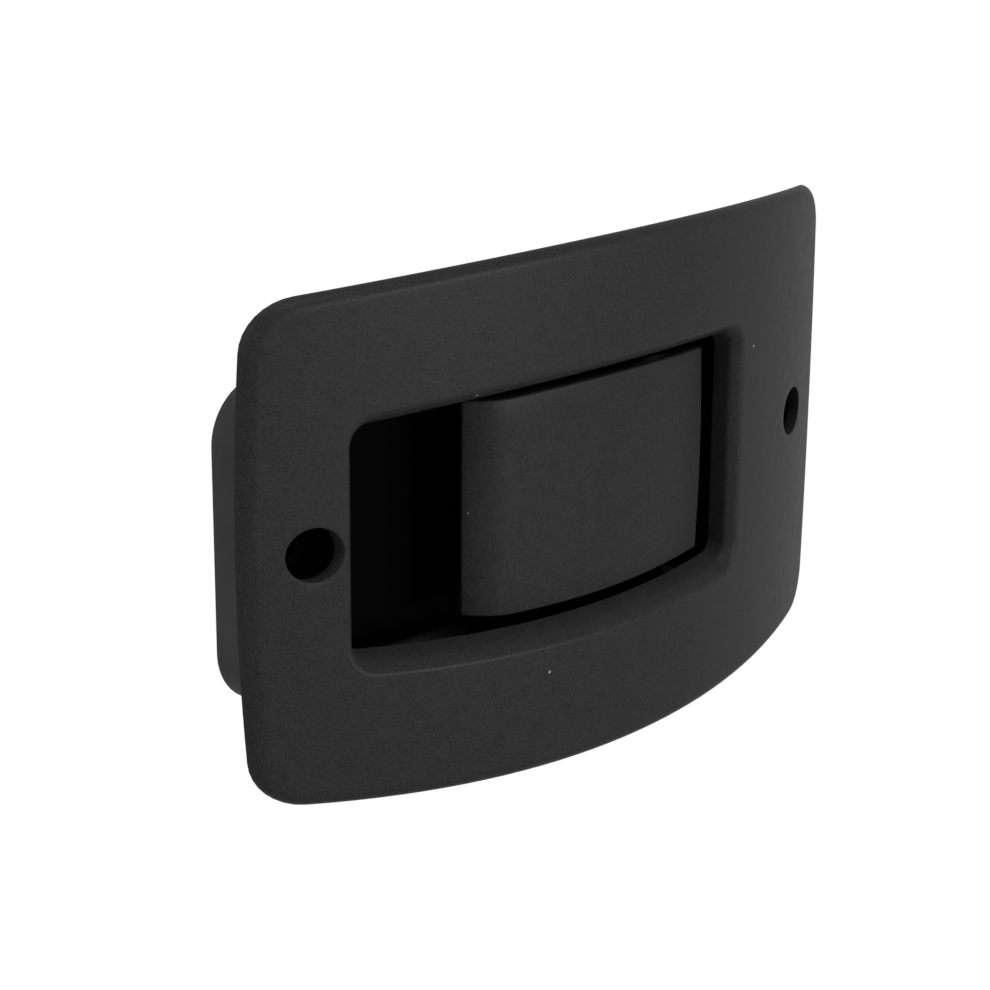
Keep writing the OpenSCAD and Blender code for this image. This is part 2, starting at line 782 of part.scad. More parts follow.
// Rubber buffer clipped on an end of the floor slot
module buffer(face_x, edge_x) {
    dir = edge_x > face_x ? 1 : -1;
    outer_x = edge_x + dir * 2;
    lo = min(face_x, outer_x);
    hi = max(face_x, outer_x);
    grip_lo = dir > 0 ? edge_x - slide_gap / 2 : outer_x - 1;
    grip_hi = dir > 0 ? outer_x + 1 : edge_x + slide_gap / 2;
    color([0.12, 0.12, 0.12])
    difference() {
        translate([lo, -floor_t - buffer_side, -buffer_half_h])
            cube([hi - lo, floor_t + 2 * buffer_side, 2 * buffer_half_h]);
        translate([grip_lo, -floor_t - slide_gap / 2, -buffer_half_h - 1])
            cube([grip_hi - grip_lo, floor_t + slide_gap, 2 * buffer_half_h + 2]);
    }
}

module rest_buffer() {
    buffer(rest_face_x, slot_x1);
}

module open_buffer() {
    buffer(open_face_x, slot_x0);
}

from_screws() face_plate();
from_screws() housing();
from_screws() housing_screws();
from_screws() on_line() pull_lever();
from_screws() on_line() release_arm();
from_screws() on_line() arm_screws();
from_screws() on_line() rod_clip();
from_screws() on_line() pivot_pin();
from_screws() on_line() pin_washer();
from_screws() on_line() pin_retainer();
from_screws() on_line() upper_spacer();
from_screws() on_line() lower_spacer();
from_screws() on_line() return_spring();
from_screws() on_line() rest_buffer();
from_screws() on_line() open_buffer();
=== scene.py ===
import bpy
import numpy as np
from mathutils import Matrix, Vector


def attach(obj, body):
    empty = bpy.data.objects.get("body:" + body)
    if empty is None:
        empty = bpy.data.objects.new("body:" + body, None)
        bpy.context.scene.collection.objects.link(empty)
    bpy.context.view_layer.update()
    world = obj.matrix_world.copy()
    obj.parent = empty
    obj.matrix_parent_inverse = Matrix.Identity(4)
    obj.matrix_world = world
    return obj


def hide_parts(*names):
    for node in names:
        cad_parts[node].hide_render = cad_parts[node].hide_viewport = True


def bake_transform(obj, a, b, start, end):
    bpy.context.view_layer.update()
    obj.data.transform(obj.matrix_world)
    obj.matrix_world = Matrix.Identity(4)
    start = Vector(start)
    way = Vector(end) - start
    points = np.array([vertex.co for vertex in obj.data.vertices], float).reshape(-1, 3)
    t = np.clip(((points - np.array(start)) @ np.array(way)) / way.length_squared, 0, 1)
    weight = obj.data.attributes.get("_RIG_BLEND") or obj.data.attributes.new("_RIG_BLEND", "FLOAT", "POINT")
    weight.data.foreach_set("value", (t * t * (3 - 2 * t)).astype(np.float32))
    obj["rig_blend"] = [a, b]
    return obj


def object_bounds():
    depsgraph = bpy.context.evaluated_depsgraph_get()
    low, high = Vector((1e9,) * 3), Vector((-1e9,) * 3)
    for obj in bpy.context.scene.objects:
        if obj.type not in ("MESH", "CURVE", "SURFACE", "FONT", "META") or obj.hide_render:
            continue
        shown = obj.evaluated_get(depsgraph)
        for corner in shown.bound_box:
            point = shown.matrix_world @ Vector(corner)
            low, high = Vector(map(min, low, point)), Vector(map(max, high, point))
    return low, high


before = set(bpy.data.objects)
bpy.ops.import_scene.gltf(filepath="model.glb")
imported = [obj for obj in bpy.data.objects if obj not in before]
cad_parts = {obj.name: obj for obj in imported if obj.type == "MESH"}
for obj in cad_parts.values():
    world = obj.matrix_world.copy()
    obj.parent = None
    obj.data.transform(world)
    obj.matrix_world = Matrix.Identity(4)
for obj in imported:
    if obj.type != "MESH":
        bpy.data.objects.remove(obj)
cad_box = [list(corner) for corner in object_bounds()]

import bpy
import math
from mathutils import Matrix, Vector

# ---------------------------------------------------------------------------
# The white sweep that the handle stands on in the picture. It shows as pure
# white to the lens and in reflections, and keeps the handle's shadow.
# ---------------------------------------------------------------------------
MM = 0.001


class Socket:
    """One output of a shader node. Arithmetic on it adds Math nodes."""

    def __init__(self, tree, out):
        self.tree, self.out = tree, out

    def node(self, kind, settings=None, out=0, **inputs):
        """Adds a node of any type, sets it up, feeds its inputs and returns one output."""
        made = self.tree.nodes.new(kind)
        for name, value in (settings or {}).items():
            if name == "stops":
                for element, (place, colour) in zip(made.color_ramp.elements, value):
                    element.position, element.color = place, colour
            else:
                setattr(made, name, value)
        for name, value in inputs.items():
            key = int(name[1:]) if name[1:].isdigit() else name.replace("_", " ")
            if isinstance(value, Socket):
                self.tree.links.new(value.out, made.inputs[key])
            else:
                made.inputs[key].default_value = value
        return Socket(self.tree, made.outputs[out])

    def math(self, operation, first, second=0.0):
        return self.node("ShaderNodeMath", {"operation": operation}, i0=first, i1=second)

    def __add__(self, other): return self.math("ADD", self, other)
    def __radd__(self, other): return self.math("ADD", other, self)
    def __sub__(self, other): return self.math("SUBTRACT", self, other)
    def __rsub__(self, other): return self.math("SUBTRACT", other, self)
    def __mul__(self, other): return self.math("MULTIPLY", self, other)
    def __rmul__(self, other): return self.math("MULTIPLY", other, self)
    def __gt__(self, other): return self.math("GREATER_THAN", self, other)
    def __lt__(self, other): return self.math("LESS_THAN", self, other)


def new_finish(name):
    """A material with its Principled shader, and the Object coordinates as a socket."""
    finish = bpy.data.materials.new(name)
    finish.use_nodes = True
    tree = finish.node_tree
    coords = Socket(tree, tree.nodes.new("ShaderNodeTexCoord").outputs["Object"])
    return finish, tree.nodes["Principled BSDF"], coords


def feed(shader, **inputs):
    """Sets or links the shader's own sockets."""
    for name, value in inputs.items():
        socket = shader.inputs[name.replace("_", " ")]
        if isinstance(value, Socket):
            value.tree.links.new(value.out, socket)
        else:
            socket.default_value = value


def paint(piece, finish):
    """Gives a piece its one finish."""
    piece.data.materials.clear()
    piece.data.materials.append(finish)


def seen_by_lens(tree):
    """1 for what the lens sees, straight or in a reflection, and 0 for what only lights."""
    rays = tree.nodes.new("ShaderNodeLightPath")
    seen = Socket(tree, rays.outputs["Is Camera Ray"])
    for output in ("Is Glossy Ray", "Is Transmission Ray"):
        seen = seen.math("MAXIMUM", seen, Socket(tree, rays.outputs[output]))
    return seen


floor_size, floor_gap = 8, 0.5 * MM
bpy.ops.mesh.primitive_plane_add(size=floor_size, location=(0, 0, cad_box[0][2] - floor_gap))
floor = bpy.context.object
floor.name = "floor"
bpy.ops.object.transform_apply(location=True)
white, white_shader = new_finish("white_sweep")[:2]
white_tree = white.node_tree
feed(white_shader, Base_Color=(0.8, 0.8, 0.8, 1), Roughness=0.9)
lit = Socket(white_tree, white_shader.outputs[0])
seen = seen_by_lens(white_tree)
glow = seen.node("ShaderNodeEmission", Color=(1, 1, 1, 1), Strength=1)
sweep = seen.node("ShaderNodeMixShader", i0=seen, i1=lit, i2=glow)
white_tree.links.new(sweep.out, white_tree.nodes["Material Output"].inputs[0])
paint(floor, white)

# ---------------------------------------------------------------------------
# The lens, at the picture's viewpoint: from the left and a little above, with
# the picture's slight roll.
# ---------------------------------------------------------------------------
lens = bpy.data.cameras.new("lens")
camera = bpy.data.objects.new("camera", lens)
scene = bpy.context.scene
scene.collection.objects.link(camera)
lens.lens, lens.sensor_width = 94.72, 36
lens.clip_start, lens.clip_end = 0.01, 20
yaw, pitch, roll = 0.79900, 0.31600, 0.00786
stand = Vector((-338.77, -325.14, 146.23)) * MM
side = Vector((math.cos(yaw), -math.sin(yaw), 0))
ahead = Vector((math.sin(yaw) * math.cos(pitch), math.cos(yaw) * math.cos(pitch),
                -math.sin(pitch)))
over = side.cross(ahead)
across = math.cos(roll) * side + math.sin(roll) * over
up = -math.sin(roll) * side + math.cos(roll) * over
camera.matrix_world = Matrix((
    (across.x, up.x, -ahead.x, stand.x),
    (across.y, up.y, -ahead.y, stand.y),
    (across.z, up.z, -ahead.z, stand.z),
    (0, 0, 0, 1)))
scene.camera = camera

# ---------------------------------------------------------------------------
# Soft studio light: a room that shows white but lights weakly, and four soft
# boxes, of which the long low one in front is the key light.
# ---------------------------------------------------------------------------
room_light = 0.12
scene.view_settings.view_transform = "Standard"
world = scene.world or bpy.data.worlds.new("studio")
scene.world = world
world.use_nodes = True
room = world.node_tree
background = room.nodes["Background"]
background.inputs["Color"].default_value = (1, 1, 1, 1)
room_level = seen_by_lens(room) * (1 - room_light) + room_light
room.links.new(room_level.out, background.inputs["Strength"])


def soft_box(name, place, size, watts):
    """A rectangular lamp that faces the handle."""
    light = bpy.data.lights.new(name, "AREA")
    light.shape, light.size, light.size_y, light.energy = "RECTANGLE", size[0], size[1], watts
    lamp = bpy.data.objects.new(name, light)
    scene.collection.objects.link(lamp)
    lamp.location = place
    lamp.rotation_euler = (-Vector(place)).to_track_quat("-Z", "Y").to_euler()


soft_box("key_low", (0.16, -1.14, 0.1), (0.9, 0.26), 24)
soft_box("top_front", (-0.25, -0.4, 1.1), (0.6, 0.6), 13)
soft_box("side_left", (-1.0, 0.35, 0.4), (0.6, 0.8), 9)
soft_box("back_top", (-0.2, 0.6, 1.0), (1.0, 0.6), 7)

# ---------------------------------------------------------------------------
# Face plate: one injection moulding of black plastic with a fine spark-eroded
# grain. Its face is part of a drum, its edges bow out, its front edge is rounded
# and a bevel leads into the window. Bosses and ribs stand on its back.
# ---------------------------------------------------------------------------
plate_half_w, plate_half_h = 76.65 * MM, 48.8 * MM
edge_bow, side_bow, corner_r = 4.25 * MM, 1.65 * MM, 9.7 * MM
face_r, face_depth, plate_t, rim_r = 167.6 * MM, 28.4 * MM, 2.4 * MM, 2.1 * MM
back_edge = 0.2 * MM
window_x0, window_x1, window_half_h, window_r = -60.15 * MM, 35.55 * MM, 26 * MM, 6 * MM
collar_in, collar_out, collar_depth, lip_r = 3.4 * MM, 1.74 * MM, 5.8 * MM, 1.3 * MM
lip_start, steep_from, steep_share = 0.3 * MM, 2 * MM, 0.75
line_z = 0.87 * MM
screw_x = (-65.45 * MM, 61.25 * MM)
pocket_r, pocket_edge = 4.85 * MM, 0.15 * MM
mid_x, mid_z = 2.1 * MM, -line_z
drum_y = face_r - face_depth
drum_length = 200 * MM
draw_y = -60 * MM
weld = MM / 500

# The centres and turns of the arcs that make the outline.
edge_r = ((plate_half_w - side_bow) ** 2 + edge_bow ** 2) / (2 * edge_bow)
side_r = ((plate_half_h - edge_bow) ** 2 + side_bow ** 2) / (2 * side_bow)
edge_cz, side_cx = plate_half_h - edge_r, plate_half_w - side_r
reach_a, reach_b, apart = side_r - corner_r, edge_r - corner_r, math.hypot(side_cx, edge_cz)
along = (reach_a ** 2 - reach_b ** 2 + apart ** 2) / (2 * apart)
off = math.sqrt(reach_a ** 2 - along ** 2)
corner_x = side_cx - along * side_cx / apart - off * edge_cz / apart
corner_z = along * edge_cz / apart - off * side_cx / apart
turn_a = math.atan2(corner_z, corner_x - side_cx)
turn_b = math.atan2(corner_z - edge_cz, corner_x)
window_edge_r = edge_r - (plate_half_h - window_half_h)


def pick(*pieces):
    """Selects the given pieces only, and makes the first of them active."""
    bpy.ops.object.select_all(action="DESELECT")
    for piece in pieces:
        piece.select_set(True)
    bpy.context.view_layer.objects.active = pieces[0]


def edit_all(piece):
    """Opens a piece in Edit Mode, all of it selected."""
    pick(piece)
    bpy.ops.object.mode_set(mode="EDIT")
    bpy.ops.mesh.select_all(action="SELECT")


def start_point(name, place):
    """A tiny plane shrunk to one vertex, in Edit Mode, ready to be drawn on."""
    bpy.ops.mesh.primitive_plane_add(size=MM, location=place)
    drawing = bpy.context.object
    drawing.name = name
    bpy.ops.object.transform_apply(location=True)
    edit_all(drawing)
    bpy.ops.mesh.merge(type="CENTER")
    return drawing


def swing(x, z, angle, steps):
    """Draws on, along an arc round (x, z), anticlockwise as seen from the front."""
    bpy.ops.mesh.spin(steps=steps, angle=angle, center=(x, draw_y, z), axis=(0, 1, 0))


def run_up(height, steps):
    """Draws on, straight up, or down if the height is negative."""
    for _ in range(steps):
        bpy.ops.mesh.extrude_vertices_move(
            TRANSFORM_OT_translate={"value": (0, 0, height / steps)})


def close_line(line):
    """Joins a line's end to its start and keeps the line as a vertex group of its name."""
    bpy.ops.mesh.select_all(action="SELECT")
    bpy.ops.mesh.remove_doubles(threshold=weld)
    bpy.ops.object.mode_set(mode="OBJECT")
    group = line.vertex_groups.new(name=line.name)
    group.add([v.index for v in line.data.vertices], 1, "REPLACE")
    return line


def plate_line(name, inset):
    """The plate's outline, moved in by inset: 128 vertices, the same count as the window's."""
    line = start_point(name, (side_cx + side_r - inset, draw_y, 0))
    turn_c = math.pi - 2 * turn_b
    swing(side_cx, 0, turn_a, 8)
    swing(corner_x, corner_z, turn_b - turn_a, 8)
    swing(0, edge_cz, turn_c, 32)
    swing(-corner_x, corner_z, turn_b - turn_a, 8)
    swing(-side_cx, 0, 2 * turn_a, 16)
    swing(-corner_x, -corner_z, turn_b - turn_a, 8)
    swing(0, -edge_cz, turn_c, 32)
    swing(corner_x, -corner_z, turn_b - turn_a, 8)
    swing(side_cx, 0, turn_a, 8)
    return close_line(line)


def window_line(name, inset):
    """The window's outline, moved in by inset, but less at the right, where the wall is steep."""
    centre_z = window_half_h - window_edge_r
    reach = window_edge_r - window_r
    steep = steep_share * max(0, inset - steep_from)
    right, left = window_x1 - window_r + steep, window_x0 + window_r
    right_z = centre_z + math.sqrt(reach ** 2 - right ** 2)
    left_z = centre_z + math.sqrt(reach ** 2 - left ** 2)
    turn_right = math.atan2(right_z - centre_z, right)
    turn_left = math.atan2(left_z - centre_z, left)
    line = start_point(name, (window_x1 - inset + steep, draw_y, line_z))
    run_up(right_z, 8)
    swing(right, line_z + right_z, turn_right, 8)
    swing(0, line_z + centre_z, turn_left - turn_right, 32)
    swing(left, line_z + left_z, math.pi - turn_left, 8)
    run_up(-2 * left_z, 16)
    swing(left, line_z - left_z, math.pi - turn_left, 8)
    swing(0, line_z - centre_z, turn_left - turn_right, 32)
    swing(right, line_z - right_z, turn_right, 8)
    run_up(right_z, 8)
    return close_line(line)


def hole_line(name, x, radius):
    """The outline of a screw head hole."""
    line = start_point(name, (x + radius, draw_y, line_z))
    swing(x, line_z, 2 * math.pi, 48)
    return close_line(line)


def apply_modifier(piece, kind, **settings):
    """Adds a modifier to a piece, sets it up and applies it."""
    bpy.context.view_layer.objects.active = piece
    change = piece.modifiers.new(kind.lower(), kind)
    for name, value in settings.items():
        setattr(change, name, value)
    bpy.ops.object.modifier_apply(modifier=change.name)
    return piece


def lay_on_face(piece, depth):
    """Pushes a drawing straight back on to the drum that lies depth below the face."""
    bpy.ops.mesh.primitive_cylinder_add(
        vertices=720, radius=face_r - depth, depth=drum_length, end_fill_type="NOTHING",
        location=(0, drum_y, 0))
    drum = bpy.context.object
    apply_modifier(piece, "SHRINKWRAP", target=drum, wrap_method="PROJECT", use_project_y=True,
                   use_positive_direction=True, use_negative_direction=False)
    bpy.data.objects.remove(drum)
    return piece


def nearer(line, step=10 * MM):
    """Moves a drawing off the face, so that a bridge from the other line isn't twisted."""
    line.location.y = step
    bpy.context.view_layer.update()
    return line


def join(name, pieces):
    """Makes one piece of several."""
    pick(*pieces)
    bpy.ops.object.join()
    pieces[0].name = name
    return pieces[0]


def add_line(piece, name):
    """Adds one line of a piece to what is selected in Edit Mode."""
    piece.vertex_groups.active_index = piece.vertex_groups[name].index
    bpy.ops.object.vertex_group_select()


def bridge(piece, first, second, cuts=0):
    """Fills the strip between two closed lines of a piece."""
    pick(piece)
    bpy.ops.object.mode_set(mode="EDIT")
    bpy.ops.mesh.select_mode(type="VERT")
    bpy.ops.mesh.select_all(action="DESELECT")
    add_line(piece, first)
    add_line(piece, second)
    bpy.ops.mesh.bridge_edge_loops(number_cuts=cuts, interpolation="LINEAR")
    bpy.ops.object.mode_set(mode="OBJECT")
    bpy.ops.object.vertex_group_clean(group_select_mode="ALL", limit=0.999)
    return piece


def bridge_chain(piece, names):
    """Bridges each line of a piece to the next one."""
    for first, second in zip(names, names[1:]):
        bridge(piece, first, second)


def face_out(piece):
    """Merges what meets and turns all faces outwards."""
    edit_all(piece)
    bpy.ops.mesh.remove_doubles(threshold=weld)
    bpy.ops.mesh.normals_make_consistent(inside=False)
    bpy.ops.object.mode_set(mode="OBJECT")
    return piece


def cut_or_add(piece, other, operation):
    """Cuts other from a piece, adds it or keeps what both fill, and removes other."""
    apply_modifier(piece, "BOOLEAN", object=other, operation=operation, solver="EXACT")
    bpy.data.objects.remove(other)
    return piece


def smooth(piece, degrees):
    """Shades a piece smooth, but for its edges above the angle."""
    pick(piece)
    bpy.ops.object.shade_smooth_by_angle(angle=math.radians(degrees))
    return piece


# The visible skin and the back skin, each between two lines.
skin_inset, skin_overlap, skin_cuts = 3 * MM, 1.2 * MM, 14
skin = join("skin", [plate_line("rim_in", skin_inset),
                     nearer(window_line("window_out", -skin_overlap))])
lay_on_face(bridge(skin, "rim_in", "window_out", skin_cuts), 0)
back_skin = join("back_skin", [plate_line("back_rim", back_edge),
                               nearer(window_line("back_window", collar_out))])
lay_on_face(bridge(back_skin, "back_rim", "back_window", skin_cuts), plate_t)

# Two profiles of insets and depths, from the face to the back. The rim is a quarter round. The
# window has a rounded lip, a bevel that gets steeper inwards, and the collar's end and back.
rim = [(rim_r * (1 - math.cos(math.radians(a))), rim_r * (1 - math.sin(math.radians(a))))
       for a in range(90, -1, -10)]
rim += [(0, plate_t - back_edge)]
lip = [(lip_r * math.sin(math.radians(a)) - lip_start, lip_r * (1 - math.cos(math.radians(a))))
       for a in range(0, 46, 9)]
lip += [(inset * MM, depth * MM) for inset, depth in (
    (0.98, 0.75), (1.35, 1.18), (1.7, 1.64), (2, 2.1), (2.29, 2.62), (2.55, 3.2), (3, 4.4),
    (3.28, 5.4))]
lip += [(collar_in - 0.06 * MM, collar_depth - 0.15 * MM), (collar_in - 0.2 * MM, collar_depth),
        (collar_out, collar_depth), (collar_out, plate_t + back_edge)]
rim_names = [f"rim_{k}" for k in range(len(rim))]
lip_names = [f"lip_{k}" for k in range(len(lip))]
lines = [lay_on_face(plate_line(name, inset), depth)
         for name, (inset, depth) in zip(rim_names, rim)]
lines += [lay_on_face(window_line(name, inset), depth)
          for name, (inset, depth) in zip(lip_names, lip)]
plate = join("face_plate_moulding", [skin, back_skin] + lines)
bridge_chain(plate, ["rim_in"] + rim_names + ["back_rim"])
bridge_chain(plate, ["window_out"] + lip_names + ["back_window"])
face_out(plate)


def capped(piece, first, last):
    """Closes the first and the last line of a tube with a face."""
    bpy.context.view_layer.objects.active = piece
    for name in (first, last):
        bpy.ops.object.mode_set(mode="EDIT")
        bpy.ops.mesh.select_all(action="DESELECT")
        add_line(piece, name)
        bpy.ops.mesh.edge_face_add()
        bpy.ops.object.mode_set(mode="OBJECT")
    return piece


# The screw head holes, with a slight rounding that follows the face.
profile = [(pocket_edge, -0.5 * MM)]
profile += [(pocket_edge * (1 - math.sin(math.radians(a))),
             pocket_edge * (1 - math.cos(math.radians(a)))) for a in range(0, 91, 30)]
profile += [(0, 4 * MM)]
drill_names = [f"drill_{k}" for k in range(len(profile))]
for x in screw_x:
    drill = join("drill", [lay_on_face(hole_line(name, x, pocket_r + wider), depth)
                           for name, (wider, depth) in zip(drill_names, profile)])
    bridge_chain(drill, drill_names)
    cut_or_add(plate, face_out(capped(drill, drill_names[0], drill_names[-1])), "DIFFERENCE")


def bar(x, y0, y1, z, radius, vertices=40):
    """A round bar along Y."""
    bpy.ops.mesh.primitive_cylinder_add(
        vertices=vertices, radius=radius, depth=y1 - y0, location=(x, (y0 + y1) / 2, z),
        rotation=(math.pi / 2, 0, 0))
    made = bpy.context.object
    bpy.ops.object.transform_apply(location=True, rotation=True)
    return made


def block(x0, x1, y0, y1, z0, z1):
    """A block between two corners, its edges slightly rounded."""
    bpy.ops.mesh.primitive_cube_add(
        size=1, location=((x0 + x1) / 2, (y0 + y1) / 2, (z0 + z1) / 2))
    made = bpy.context.object
    made.scale = (x1 - x0, y1 - y0, z1 - z0)
    bpy.ops.object.transform_apply(location=True, scale=True)
    return apply_modifier(made, "BEVEL", width=0.3 * MM, segments=3)


# Bosses for the joining screws, and ribs, on the plate's back.
lug_x, lug_z, lug_y = 46.05 * MM, 34.85 * MM, -13.95 * MM
boss_r, boss_root, boss_bore_r, boss_bore_depth = 3.4 * MM, 1.2 * MM, 1.5 * MM, 5.6 * MM
rib_x, rib_half_t, rib_end_y = (-23 * MM, 0, 23 * MM), 0.8 * MM, -20.4 * MM
rib_z0, rib_z1 = 30.95 * MM, 40.8 * MM
for sx in (-1, 1):
    for sz in (-1, 1):
        wall_y = drum_y - math.sqrt((face_r - plate_t) ** 2 - lug_x ** 2)
        boss = bar(sx * lug_x, wall_y - boss_root, lug_y, sz * lug_z, boss_r)
        cut_or_add(plate, boss, "UNION")
        bore = bar(sx * lug_x, lug_y - boss_bore_depth, lug_y + MM, sz * lug_z, boss_bore_r, 24)
        cut_or_add(plate, bore, "DIFFERENCE")
for sz in (-1, 1):
    for x in rib_x:
        wall_y = drum_y - math.sqrt((face_r - plate_t) ** 2 - x ** 2)
        low, high = sorted((sz * rib_z0, sz * rib_z1))
        rib = block(x - rib_half_t, x + rib_half_t, wall_y - MM, rib_end_y, low, high)
        cut_or_add(plate, rib, "UNION")
plate.vertex_groups.clear()
plate.location = (mid_x, 0, mid_z)
face_out(plate)
bpy.ops.object.transform_apply(location=True)
smooth(plate, 35)

# Material: near-black plastic; the mottle is the grain's uneven gloss, the specks are dust in it.
grained, grained_shader, grained_at = new_finish("black_grained_plastic")
mottle = grained_at.node("ShaderNodeTexNoise", Vector=grained_at, Scale=380.0, Detail=5.0)
grain = grained_at.node("ShaderNodeTexVoronoi", Vector=grained_at, Scale=2300.0)
fine = grained_at.node("ShaderNodeTexNoise", Vector=grained_at, Scale=5200.0, Detail=1.0)
dust = grained_at.node("ShaderNodeTexVoronoi", Vector=grained_at, Scale=75.0) < 0.022
tone = grained_at.node("ShaderNodeValToRGB", {"stops": [
    (0.32, (0.0058, 0.0059, 0.0060, 1)), (0.68, (0.0098, 0.0099, 0.0101, 1))]},
    Fac=0.4 * mottle + 0.8 * grain)
feed(grained_shader, Specular_IOR_Level=0.038,
     Base_Color=tone.node("ShaderNodeMix", {"data_type": "RGBA"}, out=2,
                          i0=dust * 0.35, i6=tone, i7=(0.25, 0.25, 0.25, 1)),
     Roughness=0.37 + 0.14 * mottle,
     Normal=grained_at.node("ShaderNodeBump", Height=grain * 0.7 + fine * 0.5,
                            Strength=0.45, Distance=0.00003))
paint(plate, grained)
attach(plate, "base")
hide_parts("face_plate")

# ---------------------------------------------------------------------------
# Pull lever: one moulding of the same grained plastic. A curved skin whose left
# edge rolls in to be gripped, with two lugs behind it that turn on the steel pin,
# a shelf for the release arm, two stiffening ribs and the hubs for the spring.
# ---------------------------------------------------------------------------
lever_r, lever_t, grip_r = 137 * MM, 3 * MM, 12 * MM
lever_front_y = -22.8 * MM
lever_right, lever_half_h, lever_bow = 31 * MM, 20.7 * MM, 0.8 * MM
lever_crest_x, lever_left = 3.9 * MM, -29.7 * MM
lever_cy = lever_front_y + lever_r
grip_turn = math.radians(62)
grip_tip_x = lever_left + lever_t / 2 * (1 - math.cos(grip_turn))
roll_start = math.asin((lever_crest_x - grip_tip_x - grip_r * math.sin(grip_turn))
                       / (lever_r - grip_r))
roll_x = lever_crest_x - (lever_r - grip_r) * math.sin(roll_start)
roll_y = lever_cy - (lever_r - grip_r) * math.cos(roll_start)
end_turn = math.asin((lever_right - lever_crest_x) / lever_r)
pivot_x, pivot_y = 22.55 * MM, -12 * MM

# The skin: its section is drawn from the right end to the rolled tip, then drawn upwards.
lever = start_point("pull_lever_moulding", (
    lever_right, lever_cy - lever_r * math.cos(end_turn), -lever_half_h))
bpy.ops.mesh.spin(steps=44, angle=end_turn + roll_start, center=(lever_crest_x, lever_cy, 0),
                  axis=(0, 0, 1))
bpy.ops.mesh.spin(steps=14, angle=grip_turn - roll_start, center=(roll_x, roll_y, 0),
                  axis=(0, 0, 1))
bpy.ops.mesh.select_all(action="SELECT")
bpy.ops.mesh.extrude_region_move(TRANSFORM_OT_translate={"value": (0, 0, 2 * lever_half_h)})
bpy.ops.mesh.select_all(action="SELECT")
bpy.ops.mesh.remove_doubles(threshold=weld)
bpy.ops.object.mode_set(mode="OBJECT")
lever_edge_r = edge_r - (plate_half_h - lever_half_h)


def curve_end(piece, name, chosen, radius, x, z, axis):
    """Pushes the chosen points along an axis on to a large drum, which gives an end its bow."""
    group = piece.vertex_groups.new(name=name)
    group.add(chosen, 1, "REPLACE")
    bpy.ops.mesh.primitive_cylinder_add(
        vertices=1440, radius=radius, depth=drum_length, end_fill_type="NOTHING",
        location=(x, 0, z), rotation=(math.pi / 2, 0, 0))
    drum = bpy.context.object
    apply_modifier(piece, "SHRINKWRAP", target=drum, wrap_method="PROJECT", vertex_group=name,
                   use_project_x=axis == "X", use_project_z=axis == "Z",
                   use_positive_direction=True, use_negative_direction=True)
    bpy.data.objects.remove(drum)


# The upper and lower ends follow the plate's bowed edges. Then the upright edges are halved
# three times, so that the right end can bow too.
for sign in (1, -1):
    row = [v.index for v in lever.data.vertices if v.co.z * sign > 0]
    curve_end(lever, f"row_{sign}", row, lever_edge_r, 0, sign * (lever_half_h - lever_edge_r), "Z")
upright_min, upright_lean = 2 * MM, 0.3 * MM
edit_all(lever)
bpy.ops.mesh.normals_make_consistent(inside=False)
for _ in range(3):
    bpy.ops.mesh.select_mode(type="EDGE")
    bpy.ops.mesh.select_all(action="DESELECT")
    bpy.ops.object.mode_set(mode="OBJECT")
    for edge in lever.data.edges:
        first, second = (lever.data.vertices[k].co for k in edge.vertices)
        lean = math.hypot(first.x - second.x, first.y - second.y)
        edge.select = abs(first.z - second.z) > upright_min and lean < upright_lean
    bpy.ops.object.mode_set(mode="EDIT")
    bpy.ops.mesh.subdivide(number_cuts=1)
bpy.ops.object.mode_set(mode="OBJECT")
bow_r = (lever_half_h ** 2 + lever_bow ** 2) / (2 * lever_bow)
end_row = [v.index for v in lever.data.vertices if v.co.x > lever_right - 0.2 * MM]
curve_end(lever, "right_end", end_row, bow_r, lever_right + lever_bow - bow_r, 0, "X")
if sum(face.normal.y for face in lever.data.polygons) > 0:
    edit_all(lever)
    bpy.ops.mesh.flip_normals()
    bpy.ops.object.mode_set(mode="OBJECT")
lever.vertex_groups.clear()
apply_modifier(lever, "SOLIDIFY", thickness=lever_t, offset=-1, use_even_offset=True)


def round_edges(piece, wanted, offset, segments):
    """Rounds the sharp edges whose middle point and run are wanted."""
    pick(piece)
    bpy.ops.object.mode_set(mode="EDIT")
    bpy.ops.mesh.select_mode(type="EDGE")
    bpy.ops.mesh.select_all(action="DESELECT")
    bpy.ops.mesh.edges_select_sharp(sharpness=math.radians(50))
    bpy.ops.object.mode_set(mode="OBJECT")
    for edge in piece.data.edges:
        if edge.select:
            first, second = (piece.data.vertices[k].co for k in edge.vertices)
            edge.select = wanted((first + second) / 2, second - first)
    bpy.ops.object.mode_set(mode="EDIT")
    bpy.ops.mesh.bevel(offset=offset, segments=segments, profile=0.5, affect="EDGES",
                       clamp_overlap=False)
    bpy.ops.object.mode_set(mode="OBJECT")


round_edges(lever, lambda middle, run: abs(run.z) > 0.8 * run.length, 1.35 * MM, 5)
round_edges(lever, lambda middle, run: abs(middle.z) > lever_half_h - 1.5 * MM, 0.4 * MM, 3)


def slab(points, z0, z1):
    """A flat plate with the given outline in the X-Y plane, between two heights."""
    made = start_point("slab", (*points[0], z0))
    for first, second in zip(points, points[1:]):
        bpy.ops.mesh.extrude_vertices_move(TRANSFORM_OT_translate={
            "value": (second[0] - first[0], second[1] - first[1], 0)})
    bpy.ops.mesh.select_all(action="SELECT")
    bpy.ops.mesh.edge_face_add()
    bpy.ops.mesh.extrude_region_move(TRANSFORM_OT_translate={"value": (0, 0, z1 - z0)})
    bpy.ops.object.mode_set(mode="OBJECT")
    return face_out(made)


